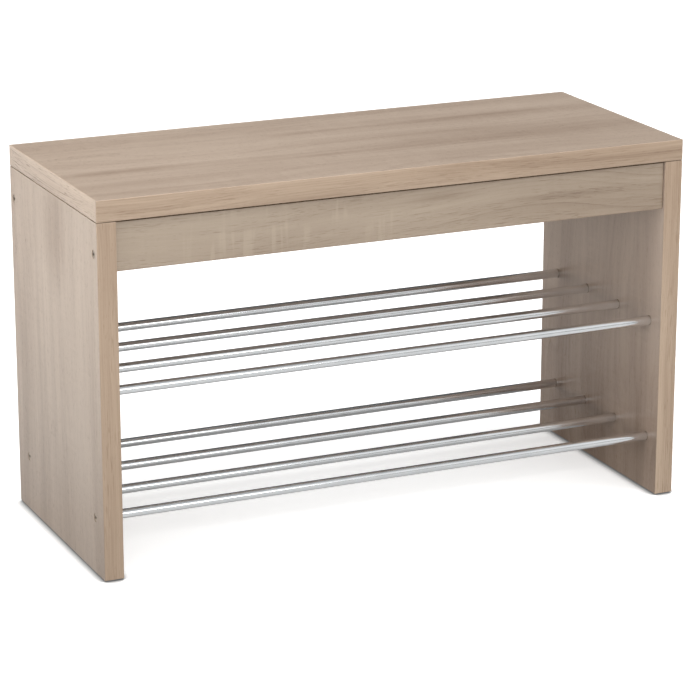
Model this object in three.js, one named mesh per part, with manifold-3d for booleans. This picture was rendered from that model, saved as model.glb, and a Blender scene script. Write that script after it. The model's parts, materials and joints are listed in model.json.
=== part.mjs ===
// An entryway bench: a seat board on two side boards, a rail under each long edge of the seat,
// and two tiers of chromed tubes that hold shoes. The boards are faced chipboard with glued edge
// bands, and flat-pack fittings hold them together.
//
// Millimetres, +Z up. The origin is on the floor, in the middle of the footprint. The front is
// towards -Y and the right-hand end is towards +X.

import * as THREE from "three";
import { mergeVertices } from "three/addons/utils/BufferGeometryUtils.js";
import Module from "manifold-3d";

const wasm = await Module();
wasm.setup();

// ---- Driving dimensions --------------------------------------------------------------------

const WIDTH = 800;
const DEPTH = 328;
const HEIGHT = 482;

const SEAT_THICKNESS = 27;
const SIDE_THICKNESS = 25;
const APRON_THICKNESS = 18;
const APRON_HEIGHT = 62.7;
const APRON_RECESS = 4; // how far a rail stands back from the edge of the side boards
const APRON_GROOVE_HEIGHT = 2.2; // the shadow line under the seat board, on a rail's two faces
const APRON_GROOVE_DEPTH = 5;

const BAND_THICKNESS = 1;
const BAND_ROUND = 0.7; // radius along both outer edges of a band
const FIT = 0.3; // the gap between pieces that touch, and round a piece in its hole
const OVERCUT = 1; // how far a cutter starts outside the face that it opens

const TUBE_RADIUS = 6;
const TUBE_WALL = 1;
const TUBE_SOCKET_DEPTH = 12;
const TUBE_COUNT = 4; // in each tier
const TUBE_PITCH = 85;
const FRONT_TUBE_INSET = 30; // from the front edge to the first tube's axis
const TIER_HEIGHTS = { lower: 75, upper: 235 };

const SCREW_HEAD_RADIUS = 5;
const SCREW_HEAD_RECESS = 0.4; // how deep a screw head lies under the face of the board
const CONFIRMAT_LENGTH = 50;
const CONFIRMAT_RADIUS = 3.5;
const APRON_SCREW_RISE = 22; // above a rail's lower edge
const TIE_SCREW_LENGTH = 27;
const TIE_SCREW_RADIUS = 3;
const HEX_SOCKET_RADIUS = 2.3; // to the corners of the hexagon
const HEX_SOCKET_DEPTH = 2.6;
const THREAD_DEPTH = 0.8;
const PLUG_LENGTH = 20;

const DOWEL_RADIUS = 4;
const DOWEL_LENGTH = 30;
const APRON_DOWEL_RISE = 45; // above a rail's lower edge
const APRON_DOWEL_IN_SIDE = 11.5;
const SEAT_DOWEL_IN_SEAT = 13;
const SEAT_DOWEL_Y = 62; // from the middle of the bench

const CAM_RADIUS = 7.5;
const CAM_DEPTH = 13.4;
const CAM_DROP = 34; // from the top of a side board to the cam's axis
const CAM_Y = 100; // from the middle of the bench
const CAM_BOLT_INSET = 9; // from a side board's inner face to the bolt's axis
const CAM_BOLT_IN_SEAT = 11;
const CAM_BOLT_RADIUS = 3.3;
const CAM_CHANNEL_RADIUS = 3.8;

const GLIDE_RADIUS = 9;
const GLIDE_THICKNESS = 1.5;
const GLIDE_PIN_LENGTH = 12;
const GLIDE_PIN_RADIUS = 1.25;
const GLIDE_INSET = 32; // from the front and the back edge

const ROUND_SIDES = 32; // facets round a tube and its socket
const FITTING_SIDES = 16; // facets round small fittings and their holes

// ---- Positions that follow from them -------------------------------------------------------

const INNER_X = WIDTH / 2 - SIDE_THICKNESS; // the inner face of a side board
const SEAT_UNDERSIDE = HEIGHT - SEAT_THICKNESS;
const SIDE_TOP = SEAT_UNDERSIDE - FIT;
const SIDE_BOTTOM = GLIDE_THICKNESS + FIT;
const APRON_BOTTOM = SIDE_TOP - APRON_HEIGHT;
const APRON_Y = DEPTH / 2 - APRON_RECESS - APRON_THICKNESS / 2; // a rail's middle plane
const BAND_ALLOWANCE = BAND_THICKNESS + FIT; // what a band and its glue line take off a board
const CORE_DEPTH = DEPTH - 2 * BAND_ALLOWANCE;
const CAM_BOLT_X = INNER_X + CAM_BOLT_INSET;
const TUBE_REACH = INNER_X + TUBE_SOCKET_DEPTH - FIT; // where a tube ends, from the middle
const SIDES = { left: -1, right: 1 };
const ENDS = { front: -1, back: 1 };

const X_AXIS = new THREE.Vector3(1, 0, 0);
const Y_AXIS = new THREE.Vector3(0, 1, 0);
const Z_AXIS = new THREE.Vector3(0, 0, 1);

// ---- Materials -----------------------------------------------------------------------------

const material = (color, roughness, metalness) =>
  new THREE.MeshStandardMaterial({ color, roughness, metalness });

const FACE_DECOR = material(0xbfab97, 0.55, 0);
const BAND_DECOR = material(0xb99f83, 0.5, 0);
const CHROME = material(0xd8dadb, 0.12, 1);
const ZINC = material(0x9a958c, 0.4, 1);
const BEECH = material(0xd2ae80, 0.7, 0);
const NYLON = material(0x5a534c, 0.6, 0);

// ---- Solids --------------------------------------------------------------------------------

/** A manifold-3d solid from a closed three.js geometry. */
function solid(geometry) {
  const bare = geometry.clone();
  bare.deleteAttribute("normal");
  bare.deleteAttribute("uv");
  const merged = mergeVertices(bare);
  return new wasm.Manifold(
    new wasm.Mesh({
      numProp: 3,
      vertProperties: new Float32Array(merged.attributes.position.array),
      triVerts: new Uint32Array(merged.index.array),
    }),
  );
}

/** A three.js geometry, with a flat normal on each face, from a manifold-3d solid. */
function geometryOf(cut) {
  const mesh = cut.getMesh();
  const indexed = new THREE.BufferGeometry();
  indexed.setAttribute("position", new THREE.BufferAttribute(mesh.vertProperties, 3));
  indexed.setIndex(new THREE.BufferAttribute(mesh.triVerts, 1));
  const faceted = indexed.toNonIndexed();
  faceted.computeVertexNormals();
  return faceted;
}

/** The geometry that is left when each cutter is taken out of a body. */
function carved(body, cutters) {
  return geometryOf(cutters.reduce((rest, cutter) => rest.subtract(solid(cutter)), solid(body)));
}

/** A round cutter that drills from one point to another. */
function drill(start, end, radius, sides = FITTING_SIDES) {
  const from = new THREE.Vector3(...start);
  const to = new THREE.Vector3(...end);
  const cutter = new THREE.CylinderGeometry(radius, radius, from.distanceTo(to), sides);
  const direction = to.clone().sub(from).normalize();
  cutter.applyQuaternion(new THREE.Quaternion().setFromUnitVectors(Y_AXIS, direction));
  const middle = from.add(to).multiplyScalar(0.5);
  return cutter.translate(middle.x, middle.y, middle.z);
}

/** A turned body round its own +Y axis, from [radius, distance along the axis] pairs. */
function turned(profile, sides = FITTING_SIDES) {
  return new THREE.LatheGeometry(
    profile.map(([radius, along]) => new THREE.Vector2(radius, along)),
    sides,
  );
}

/** Profile points of a thread, as plain ridges between two distances along the axis. */
function ridges(radius, start, end, pitch) {
  const count = Math.floor((end - start) / pitch);
  return Array.from({ length: count }, (_, ridge) => {
    const foot = start + ridge * pitch;
    return [
      [radius - THREAD_DEPTH, foot + pitch / 3],
      [radius, foot + pitch],
    ];
  }).flat();
}

/** A turned ring: an open tube between two radii, with its outer ends chamfered. */
function turnedRing(inner, outer, length, chamfer, sides) {
  const end = length / 2;
  const profile = [
    [inner, -end],
    [outer - chamfer, -end],
    [outer, chamfer - end],
    [outer, end - chamfer],
    [outer - chamfer, end],
    [inner, end],
    [inner, -end],
  ];
  return turned(profile, sides);
}

/** A box given by its lowest and highest corner. */
function block(low, high) {
  const size = high.map((value, axis) => value - low[axis]);
  const middle = high.map((value, axis) => (value + low[axis]) / 2);
  return new THREE.BoxGeometry(...size).translate(...middle);
}

/** Turns a mesh so that its own +Y axis points along a direction. */
function aim(mesh, direction) {
  mesh.quaternion.setFromUnitVectors(Y_AXIS, direction);
  return mesh;
}

const bench = new THREE.Group();
bench.name = "entryway_bench";

/** Adds one named piece to the bench at a place. */
function addPiece(name, geometry, look, place = [0, 0, 0]) {
  const mesh = new THREE.Mesh(geometry, look);
  mesh.name = name;
  mesh.position.set(...place);
  bench.add(mesh);
  return mesh;
}

/** Runs a task for each of the four corners of the bench. */
function forEachCorner(task) {
  for (const [side, x] of Object.entries(SIDES)) {
    for (const [end, y] of Object.entries(ENDS)) {
      task(`${side}_${end}`, x, y);
    }
  }
}

// ---- Edge bands ----------------------------------------------------------------------------

/** A glued strip whose outer edges are rounded. `outward` and `along` are unit vectors. */
function addBand(name, width, length, glueFace, outward, along) {
  const half = width / 2;
  const flat = half - BAND_ROUND;
  const shoulder = BAND_THICKNESS - BAND_ROUND;
  const section = new THREE.Shape();
  section.moveTo(0, -half);
  section.lineTo(shoulder, -half);
  section.absarc(shoulder, -flat, BAND_ROUND, -Math.PI / 2, 0, false);
  section.absarc(shoulder, flat, BAND_ROUND, 0, Math.PI / 2, false);
  section.lineTo(0, half);
  section.closePath();
  const strip = new THREE.ExtrudeGeometry(section, {
    depth: length,
    bevelEnabled: false,
    curveSegments: 3,
  }).translate(0, 0, -length / 2);
  const mesh = addPiece(name, geometryOf(solid(strip)), BAND_DECOR, glueFace);
  const across = new THREE.Vector3().crossVectors(along, outward);
  mesh.quaternion.setFromRotationMatrix(new THREE.Matrix4().makeBasis(outward, across, along));
}

/** The bands round the four edges of the seat board. The long ones cover the short ones' ends. */
function addSeatBands() {
  const middle = SEAT_UNDERSIDE + SEAT_THICKNESS / 2;
  for (const [end, y] of Object.entries(ENDS)) {
    const glueFace = [0, y * (DEPTH / 2 - BAND_THICKNESS), middle];
    const outward = Y_AXIS.clone().multiplyScalar(y);
    addBand(`top_${end}_band`, SEAT_THICKNESS, WIDTH, glueFace, outward, X_AXIS);
  }
  for (const [side, x] of Object.entries(SIDES)) {
    const glueFace = [x * (WIDTH / 2 - BAND_THICKNESS), 0, middle];
    const outward = X_AXIS.clone().multiplyScalar(x);
    addBand(`top_${side}_band`, SEAT_THICKNESS, CORE_DEPTH, glueFace, outward, Y_AXIS);
  }
}

/** The upright bands on the front and back edges of the side boards. */
function addSideBands() {
  const length = SIDE_TOP - SIDE_BOTTOM;
  const middle = (SIDE_TOP + SIDE_BOTTOM) / 2;
  forEachCorner((corner, x, y) => {
    const glueFace = [x * (INNER_X + SIDE_THICKNESS / 2), y * (DEPTH / 2 - BAND_THICKNESS), middle];
    const outward = Y_AXIS.clone().multiplyScalar(y);
    addBand(`${corner}_band`, SIDE_THICKNESS, length, glueFace, outward, Z_AXIS);
  });
}

// ---- Boards --------------------------------------------------------------------------------

/** The seat board, drilled from below for the cam bolts and the dowels. */
function addSeat() {
  const x = WIDTH / 2 - BAND_ALLOWANCE;
  const y = CORE_DEPTH / 2;
  const board = block([-x, -y, SEAT_UNDERSIDE], [x, y, HEIGHT]);
  const cutters = [];
  const drillUp = (atX, atY, depth, radius) =>
    cutters.push(
      drill(
        [atX, atY, SEAT_UNDERSIDE - OVERCUT],
        [atX, atY, SEAT_UNDERSIDE + depth + FIT],
        radius + FIT,
      ),
    );
  forEachCorner((corner, sideSign, endSign) => {
    drillUp(sideSign * CAM_BOLT_X, endSign * CAM_Y, CAM_BOLT_IN_SEAT, CAM_BOLT_RADIUS);
    drillUp(sideSign * CAM_BOLT_X, endSign * SEAT_DOWEL_Y, SEAT_DOWEL_IN_SEAT, DOWEL_RADIUS);
  });
  addPiece("top_panel", carved(board, cutters), FACE_DECOR);
}

/** The y of each tube's axis, front to back. */
function tubeRows() {
  return Array.from(
    { length: TUBE_COUNT },
    (_, row) => -DEPTH / 2 + FRONT_TUBE_INSET + row * TUBE_PITCH,
  );
}

/** The first and the last tube of the lower tier tie the side boards together. */
function tieRows() {
  const rows = tubeRows();
  return { front: rows[0], back: rows[TUBE_COUNT - 1] };
}

/** The cutters for one fastener that goes in from a side board's outer face. */
function screwHole(sideSign, y, z, radius) {
  const outerX = sideSign * (WIDTH / 2 + OVERCUT);
  const seatX = sideSign * (WIDTH / 2 - SCREW_HEAD_RECESS - SCREW_HEAD_RADIUS + FIT);
  return [
    drill([outerX, y, z], [seatX, y, z], SCREW_HEAD_RADIUS + FIT),
    drill([outerX, y, z], [sideSign * (INNER_X - OVERCUT), y, z], radius + FIT),
  ];
}

/** A side board with its tube sockets, screw holes, dowel holes, cam pockets and glide holes. */
function addSideBoard(side, sideSign) {
  const faces = [sideSign * INNER_X, (sideSign * WIDTH) / 2].sort((a, b) => a - b);
  const board = block(
    [faces[0], -CORE_DEPTH / 2, SIDE_BOTTOM],
    [faces[1], CORE_DEPTH / 2, SIDE_TOP],
  );
  const cutters = [];
  const drillFromInside = (y, z, depth, radius, sides) =>
    cutters.push(
      drill(
        [sideSign * (INNER_X - OVERCUT), y, z],
        [sideSign * (INNER_X + depth), y, z],
        radius + FIT,
        sides,
      ),
    );
  const drillDown = (y, depth, radius) =>
    cutters.push(
      drill(
        [sideSign * CAM_BOLT_X, y, SIDE_TOP + OVERCUT],
        [sideSign * CAM_BOLT_X, y, SIDE_TOP - depth],
        radius + FIT,
      ),
    );
  for (const height of Object.values(TIER_HEIGHTS)) {
    for (const y of tubeRows()) {
      drillFromInside(y, height, TUBE_SOCKET_DEPTH, TUBE_RADIUS, ROUND_SIDES);
    }
  }
  for (const y of Object.values(tieRows())) {
    cutters.push(...screwHole(sideSign, y, TIER_HEIGHTS.lower, TIE_SCREW_RADIUS));
  }
  for (const endSign of Object.values(ENDS)) {
    const apronY = endSign * APRON_Y;
    const screwZ = APRON_BOTTOM + APRON_SCREW_RISE;
    cutters.push(...screwHole(sideSign, apronY, screwZ, CONFIRMAT_RADIUS));
    const dowelZ = APRON_BOTTOM + APRON_DOWEL_RISE;
    drillFromInside(apronY, dowelZ, APRON_DOWEL_IN_SIDE + FIT, DOWEL_RADIUS);
    drillFromInside(endSign * CAM_Y, SIDE_TOP - CAM_DROP, CAM_DEPTH + 2 * FIT, CAM_RADIUS);
    drillDown(endSign * CAM_Y, CAM_DROP, CAM_BOLT_RADIUS);
    drillDown(endSign * SEAT_DOWEL_Y, DOWEL_LENGTH - SEAT_DOWEL_IN_SEAT, DOWEL_RADIUS);
    const glideX = sideSign * (INNER_X + SIDE_THICKNESS / 2);
    const glideY = endSign * (DEPTH / 2 - GLIDE_INSET);
    const pinTop = GLIDE_THICKNESS + GLIDE_PIN_LENGTH + FIT;
    cutters.push(
      drill(
        [glideX, glideY, SIDE_BOTTOM - OVERCUT],
        [glideX, glideY, pinTop],
        GLIDE_PIN_RADIUS + FIT,
      ),
    );
  }
  addPiece(`${side}_side_panel`, carved(board, cutters), FACE_DECOR);
}

/** The cutters for the shadow grooves along both upper edges of a rail. */
function apronGrooves(y, halfLength) {
  return Object.values(ENDS).map((faceSign) => {
    const outside = y + faceSign * (APRON_THICKNESS / 2 + OVERCUT);
    const bottom = y + faceSign * (APRON_THICKNESS / 2 - APRON_GROOVE_DEPTH);
    return block(
      [-halfLength - OVERCUT, Math.min(outside, bottom), SEAT_UNDERSIDE - APRON_GROOVE_HEIGHT],
      [halfLength + OVERCUT, Math.max(outside, bottom), SIDE_TOP + OVERCUT],
    );
  });
}

/** A rail under one long edge of the seat, with the band on its lower edge. */
function addApron(name, endSign) {
  const halfLength = INNER_X - FIT;
  const y = endSign * APRON_Y;
  const low = APRON_BOTTOM + BAND_ALLOWANCE;
  const rail = block(
    [-halfLength, y - APRON_THICKNESS / 2, low],
    [halfLength, y + APRON_THICKNESS / 2, SIDE_TOP],
  );
  const holes = [
    {
      z: APRON_BOTTOM + APRON_SCREW_RISE,
      depth: CONFIRMAT_LENGTH + SCREW_HEAD_RECESS - SIDE_THICKNESS,
      radius: CONFIRMAT_RADIUS,
    },
    {
      z: APRON_BOTTOM + APRON_DOWEL_RISE,
      depth: DOWEL_LENGTH - APRON_DOWEL_IN_SIDE,
      radius: DOWEL_RADIUS,
    },
  ];
  const drills = Object.values(SIDES).flatMap((sideSign) =>
    holes.map(({ z, depth, radius }) =>
      drill(
        [sideSign * (INNER_X + OVERCUT), y, z],
        [sideSign * (INNER_X - depth - FIT), y, z],
        radius + FIT,
      ),
    ),
  );
  const cutters = [...drills, ...apronGrooves(y, halfLength)];
  addPiece(`${name}_apron`, carved(rail, cutters), FACE_DECOR);
  const glueFace = [0, y, APRON_BOTTOM + BAND_THICKNESS];
  const down = Z_AXIS.clone().negate();
  addBand(`${name}_apron_band`, APRON_THICKNESS, 2 * halfLength, glueFace, down, X_AXIS);
}

// ---- Tubes ---------------------------------------------------------------------------------

/** Both tiers of chromed tubes, with their ends in the side boards' sockets. */
function addTubes() {
  const chamfer = 0.3;
  const bore = TUBE_RADIUS - TUBE_WALL;
  const tube = turnedRing(bore, TUBE_RADIUS, 2 * TUBE_REACH, chamfer, ROUND_SIDES);
  for (const [tier, height] of Object.entries(TIER_HEIGHTS)) {
    tubeRows().forEach((y, row) => {
      aim(addPiece(`${tier}_rod_${row + 1}`, tube, CHROME, [0, y, height]), X_AXIS);
    });
  }
}

/** The threaded plugs inside the four ends of the two tie tubes. */
function addRodPlugs() {
  const chamfer = 0.6;
  const outer = TUBE_RADIUS - TUBE_WALL - FIT;
  const plug = turnedRing(TIE_SCREW_RADIUS + FIT, outer, PLUG_LENGTH, chamfer, FITTING_SIDES);
  const rows = tieRows();
  forEachCorner((corner, x, y) => {
    const middle = x * (TUBE_REACH - PLUG_LENGTH / 2);
    const place = [middle, y < 0 ? rows.front : rows.back, TIER_HEIGHTS.lower];
    aim(addPiece(`${corner}_rod_plug`, plug, ZINC, place), X_AXIS);
  });
}

// ---- Screws --------------------------------------------------------------------------------

/** A countersunk screw with a hex socket and ridges for its thread, head at y = 0. */
function countersunkScrew(length, radius, plainLength, pitch) {
  const rim = 0.8; // the straight edge of the head, above its cone
  const threadEnd = length - radius; // the rest is the pointed tip
  const profile = [
    [0, 0],
    [SCREW_HEAD_RADIUS, 0],
    [SCREW_HEAD_RADIUS, rim],
    [radius, rim + SCREW_HEAD_RADIUS - radius],
    [radius, plainLength],
    ...ridges(radius, plainLength, threadEnd, pitch),
    [radius - THREAD_DEPTH, threadEnd],
    [0, length],
  ];
  const socket = drill([0, -OVERCUT, 0], [0, HEX_SOCKET_DEPTH, 0], HEX_SOCKET_RADIUS, 6);
  return carved(turned(profile), [socket]);
}

/** Screws through the side boards: one into each rail end and one into each tie tube end. */
function addScrews() {
  const confirmat = countersunkScrew(CONFIRMAT_LENGTH, CONFIRMAT_RADIUS, 12, 5);
  const tieScrew = countersunkScrew(TIE_SCREW_LENGTH, TIE_SCREW_RADIUS, 13, 3);
  const rows = tieRows();
  forEachCorner((corner, x, y) => {
    const headX = x * (WIDTH / 2 - SCREW_HEAD_RECESS);
    const inward = X_AXIS.clone().multiplyScalar(-x);
    const apronPlace = [headX, y * APRON_Y, APRON_BOTTOM + APRON_SCREW_RISE];
    aim(addPiece(`${corner}_apron_screw`, confirmat, ZINC, apronPlace), inward);
    const tiePlace = [headX, y < 0 ? rows.front : rows.back, TIER_HEIGHTS.lower];
    aim(addPiece(`${corner}_tie_screw`, tieScrew, ZINC, tiePlace), inward);
  });
}

// ---- Hidden joinery ------------------------------------------------------------------------

/** Chamfered beech dowels: one in each rail end and one in each corner of the seat. */
function addDowels() {
  const chamfer = 1;
  const dowel = turned([
    [0, 0],
    [DOWEL_RADIUS - chamfer, 0],
    [DOWEL_RADIUS, chamfer],
    [DOWEL_RADIUS, DOWEL_LENGTH - chamfer],
    [DOWEL_RADIUS - chamfer, DOWEL_LENGTH],
    [0, DOWEL_LENGTH],
  ]);
  forEachCorner((corner, x, y) => {
    const inward = X_AXIS.clone().multiplyScalar(-x);
    const startX = x * (INNER_X + APRON_DOWEL_IN_SIDE);
    const apronPlace = [startX, y * APRON_Y, APRON_BOTTOM + APRON_DOWEL_RISE];
    aim(addPiece(`${corner}_apron_dowel`, dowel, BEECH, apronPlace), inward);
    const seatBase = SEAT_UNDERSIDE + SEAT_DOWEL_IN_SEAT - DOWEL_LENGTH;
    const seatPlace = [x * CAM_BOLT_X, y * SEAT_DOWEL_Y, seatBase];
    aim(addPiece(`${corner}_seat_dowel`, dowel, BEECH, seatPlace), Z_AXIS);
  });
}

/** A cam bolt, from the middle of its head up to the end of its thread. */
function camBolt() {
  const headRadius = 3.3;
  const headHalf = 1.5;
  const neckRadius = 2;
  const neckEnd = CAM_RADIUS + 1; // the neck is as long as the cam's wall needs
  const shaftRadius = 3;
  const taper = 0.8;
  const threadStart = CAM_DROP + FIT; // at the seat board's underside
  const tip = 2;
  return turned([
    [0, -headHalf],
    [headRadius, -headHalf],
    [headRadius, headHalf],
    [neckRadius, headHalf + taper],
    [neckRadius, neckEnd],
    [shaftRadius, neckEnd + taper],
    [shaftRadius, threadStart],
    ...ridges(CAM_BOLT_RADIUS, threadStart, threadStart + CAM_BOLT_IN_SEAT - tip, 3),
    [0, threadStart + CAM_BOLT_IN_SEAT],
  ]);
}

/** A cam lock. Its +Y points from its slotted face into the board, and it takes the bolt from +Z. */
function camLock() {
  const slotReach = 5;
  const slotHalf = 0.9;
  const slotDepth = 2.5;
  const channelBottom = -4.5; // below the cam's axis
  const body = turned([
    [0, 0],
    [CAM_RADIUS, 0],
    [CAM_RADIUS, CAM_DEPTH],
    [0, CAM_DEPTH],
  ]);
  return carved(body, [
    block([-slotReach, -OVERCUT, -slotHalf], [slotReach, slotDepth, slotHalf]),
    block([-slotHalf, -OVERCUT, -slotReach], [slotHalf, slotDepth, slotReach]),
    drill(
      [0, CAM_BOLT_INSET - FIT, channelBottom],
      [0, CAM_BOLT_INSET - FIT, CAM_RADIUS + OVERCUT],
      CAM_CHANNEL_RADIUS,
    ),
  ]);
}

/** The cam bolts in the seat board and the cam locks in the side boards that draw them down. */
function addCamFittings() {
  const bolt = camBolt();
  const lock = camLock();
  const z = SIDE_TOP - CAM_DROP;
  forEachCorner((corner, x, y) => {
    const boltPlace = [x * CAM_BOLT_X, y * CAM_Y, z];
    aim(addPiece(`${corner}_cam_bolt`, bolt, ZINC, boltPlace), Z_AXIS);
    const lockPlace = [x * (INNER_X + FIT), y * CAM_Y, z];
    const lockMesh = addPiece(`${corner}_cam_lock`, lock, ZINC, lockPlace);
    lockMesh.rotation.z = (-x * Math.PI) / 2; // its +Y outwards, its +Z still up
  });
}

/** The nail-in glides under the side boards. */
function addGlides() {
  const bevel = 0.8;
  const pinTop = GLIDE_THICKNESS + GLIDE_PIN_LENGTH;
  const point = 2;
  const glide = turned([
    [0, 0],
    [GLIDE_RADIUS - bevel, 0],
    [GLIDE_RADIUS, bevel],
    [GLIDE_RADIUS, GLIDE_THICKNESS],
    [GLIDE_PIN_RADIUS, GLIDE_THICKNESS],
    [GLIDE_PIN_RADIUS, pinTop - point],
    [0, pinTop],
  ]);
  forEachCorner((corner, x, y) => {
    const place = [x * (INNER_X + SIDE_THICKNESS / 2), y * (DEPTH / 2 - GLIDE_INSET), 0];
    aim(addPiece(`${corner}_glide`, glide, NYLON, place), Z_AXIS);
  });
}

// ---- The bench -----------------------------------------------------------------------------

addSeat();
addSeatBands();
for (const [side, sideSign] of Object.entries(SIDES)) addSideBoard(side, sideSign);
addSideBands();
addApron("front", -1);
addApron("rear", 1);
addTubes();
addRodPlugs();
addScrews();
addDowels();
addCamFittings();
addGlides();

export default bench;
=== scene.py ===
"""Looks of the entryway bench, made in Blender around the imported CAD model.

Metres, +Z up, origin on the floor in the middle of the footprint, front towards -Y. The boards,
edge bands, tubes, screws and glides are rebuilt here with eased edges and finer rounding, at the
places the CAD nodes give. The fittings inside the boards are the CAD's own meshes.
"""

import json
import math

import bmesh
import bpy
from mathutils import Matrix, Vector

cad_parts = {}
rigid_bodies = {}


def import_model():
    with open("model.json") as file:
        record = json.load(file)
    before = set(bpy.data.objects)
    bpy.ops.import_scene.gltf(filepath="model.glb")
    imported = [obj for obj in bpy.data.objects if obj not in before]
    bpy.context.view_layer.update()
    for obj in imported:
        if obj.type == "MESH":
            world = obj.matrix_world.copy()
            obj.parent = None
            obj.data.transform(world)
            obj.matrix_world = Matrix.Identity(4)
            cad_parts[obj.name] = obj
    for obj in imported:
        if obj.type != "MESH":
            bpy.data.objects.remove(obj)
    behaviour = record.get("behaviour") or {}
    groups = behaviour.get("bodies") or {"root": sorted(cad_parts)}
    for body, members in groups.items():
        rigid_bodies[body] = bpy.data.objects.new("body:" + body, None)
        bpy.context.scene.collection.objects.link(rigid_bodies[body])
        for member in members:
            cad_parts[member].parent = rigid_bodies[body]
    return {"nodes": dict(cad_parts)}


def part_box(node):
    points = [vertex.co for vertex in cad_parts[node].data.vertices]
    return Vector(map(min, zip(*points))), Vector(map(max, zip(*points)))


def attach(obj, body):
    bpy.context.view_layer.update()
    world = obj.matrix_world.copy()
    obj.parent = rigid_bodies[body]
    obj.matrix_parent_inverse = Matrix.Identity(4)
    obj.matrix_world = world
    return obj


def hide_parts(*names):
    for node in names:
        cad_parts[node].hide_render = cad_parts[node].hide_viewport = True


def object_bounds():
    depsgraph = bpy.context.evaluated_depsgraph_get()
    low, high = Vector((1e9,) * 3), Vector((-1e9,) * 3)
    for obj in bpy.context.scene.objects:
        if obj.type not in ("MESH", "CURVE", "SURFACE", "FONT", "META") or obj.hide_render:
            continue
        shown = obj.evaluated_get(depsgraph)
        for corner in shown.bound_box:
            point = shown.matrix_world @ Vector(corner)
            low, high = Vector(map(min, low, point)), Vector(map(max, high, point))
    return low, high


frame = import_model()
cad_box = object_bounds()

MM = 0.001
X, Y, Z = 0, 1, 2

# ---- Camera --------------------------------------------------------------------------------

CAMERA_AZIMUTH = -24.27  # degrees from straight in front; negative is towards the left end
CAMERA_ELEVATION = 16.79
CAMERA_DISTANCE = 3.75
CAMERA_LENS = 154.0  # mm
SENSOR_WIDTH = 36.0  # mm
AIM_OFFSET = Vector((-0.0502, -0.1069, 0.0035))  # from the middle of the bench's box


def direction_from(azimuth, elevation):
    """Unit vector from the bench towards a place at this azimuth and elevation, in degrees."""
    turn = math.radians(azimuth)
    rise = math.radians(elevation)
    return Vector(
        (
            math.sin(turn) * math.cos(rise),
            -math.cos(turn) * math.cos(rise),
            math.sin(rise),
        )
    )


def add_camera(middle):
    """A long lens without shift, at the photograph's viewing angle."""
    camera = bpy.data.objects.new("camera", bpy.data.cameras.new("camera"))
    bpy.context.scene.collection.objects.link(camera)
    back = direction_from(CAMERA_AZIMUTH, CAMERA_ELEVATION)
    camera.data.sensor_width = SENSOR_WIDTH
    camera.data.lens = CAMERA_LENS
    camera.location = middle + AIM_OFFSET + back * CAMERA_DISTANCE
    camera.rotation_mode = "QUATERNION"
    camera.rotation_quaternion = (-back).to_track_quat("-Z", "Y")
    bpy.context.scene.camera = camera


# ---- Studio --------------------------------------------------------------------------------

WHITE = (1.0, 1.0, 1.0)
FLOOR_RADIUS = 12.0
FLOOR_SIDES = 96
FLOOR_ROUGHNESS = 0.9
FLOOR_SPECULAR = 0.1
FLOOR_TONE = (0.93, 0.93, 0.925)
FLOOR_BOUNCE = (0.19, 0.19, 0.185)  # what it gives back to the bench, as a greyer studio floor
FLOOR_MIRRORED = (0.65, 0.65, 0.65)  # how the chrome sees it
FLOOR_UPLIGHT = (0.73, 0.80, 0.90)  # how it lights the boards that the chrome mirrors
CONTACT_SHADOW_REACH = 20 * MM  # of the painted contact shadow where the bench stands on it
CONTACT_SHADOW_OPEN = (0.40, 0.92)  # how open the floor is where that painted shadow is darkest and where it ends
CONTACT_SHADOW_TONE = 0.20  # of that painted shadow at its darkest, as a share of the floor's
FLOOR_GLOW = 0.45  # lifts it towards the plain white of a product photograph
# name: (azimuth, elevation, distance, lift, width, height, spread in degrees, watts)
SOFTBOXES = {
    "left_top": (-85, 60, 1.3, 0.0, 1.0, 0.8, 180, 4.8),
    "left_side": (-88, 0, 1.6, 0.26, 1.2, 0.5, 52, 1.4),
    "back_left_low": (-122, 1, 2.3, -0.05, 0.6, 0.35, 180, 10.0),
    "front": (-10, 16, 2.8, 0.0, 2.4, 0.9, 180, 18.5),
    "right_front": (40, 30, 2.5, 0.0, 1.4, 1.2, 180, 9.0),
    "right_side": (97, 8, 2.5, 0.0, 1.4, 1.2, 180, 24.0),
    "rear_fill": (150, 45, 3.0, 0.0, 2.0, 1.6, 180, 7.0),
}
MIRRORED_SOFTBOX = "front"  # the one that the chrome shows
DOME_LIGHT = 1.95  # straight above
DOME_MIRRORED = 0.5  # how the chrome sees it
FRONT_LIGHT = 1.0  # from the front half, below the dome
REAR_LIGHT = 0.12
BACKDROP = 1.05  # plain white to the camera
# Where each light starts and where it is full, in the parts of a direction.
FRONT_FADE = (0.1, -0.6)  # its part towards the back
HORIZON_FADE = (-0.1, 0.3)  # its part upwards
DOME_FADE = (0.65, 0.85)  # its part upwards, less at the back by the lean
DOME_LEAN = 0.8


def add_softbox(name, middle, azimuth, elevation, distance, lift, width, height, spread, power):
    """A soft lamp that faces a point lift above the bench's middle. Only its light shows."""
    lamp = bpy.data.lights.new(name, "AREA")
    lamp.shape = "RECTANGLE"
    lamp.size = width
    lamp.size_y = height
    lamp.spread = math.radians(spread)
    lamp.energy = power
    softbox = bpy.data.objects.new(name, lamp)
    bpy.context.scene.collection.objects.link(softbox)
    back = direction_from(azimuth, elevation)
    softbox.location = middle + Vector((0.0, 0.0, lift)) + back * distance
    softbox.rotation_mode = "QUATERNION"
    softbox.rotation_quaternion = (-back).to_track_quat("-Z", "Y")
    softbox.visible_camera = False
    softbox.visible_glossy = name == MIRRORED_SOFTBOX


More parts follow.
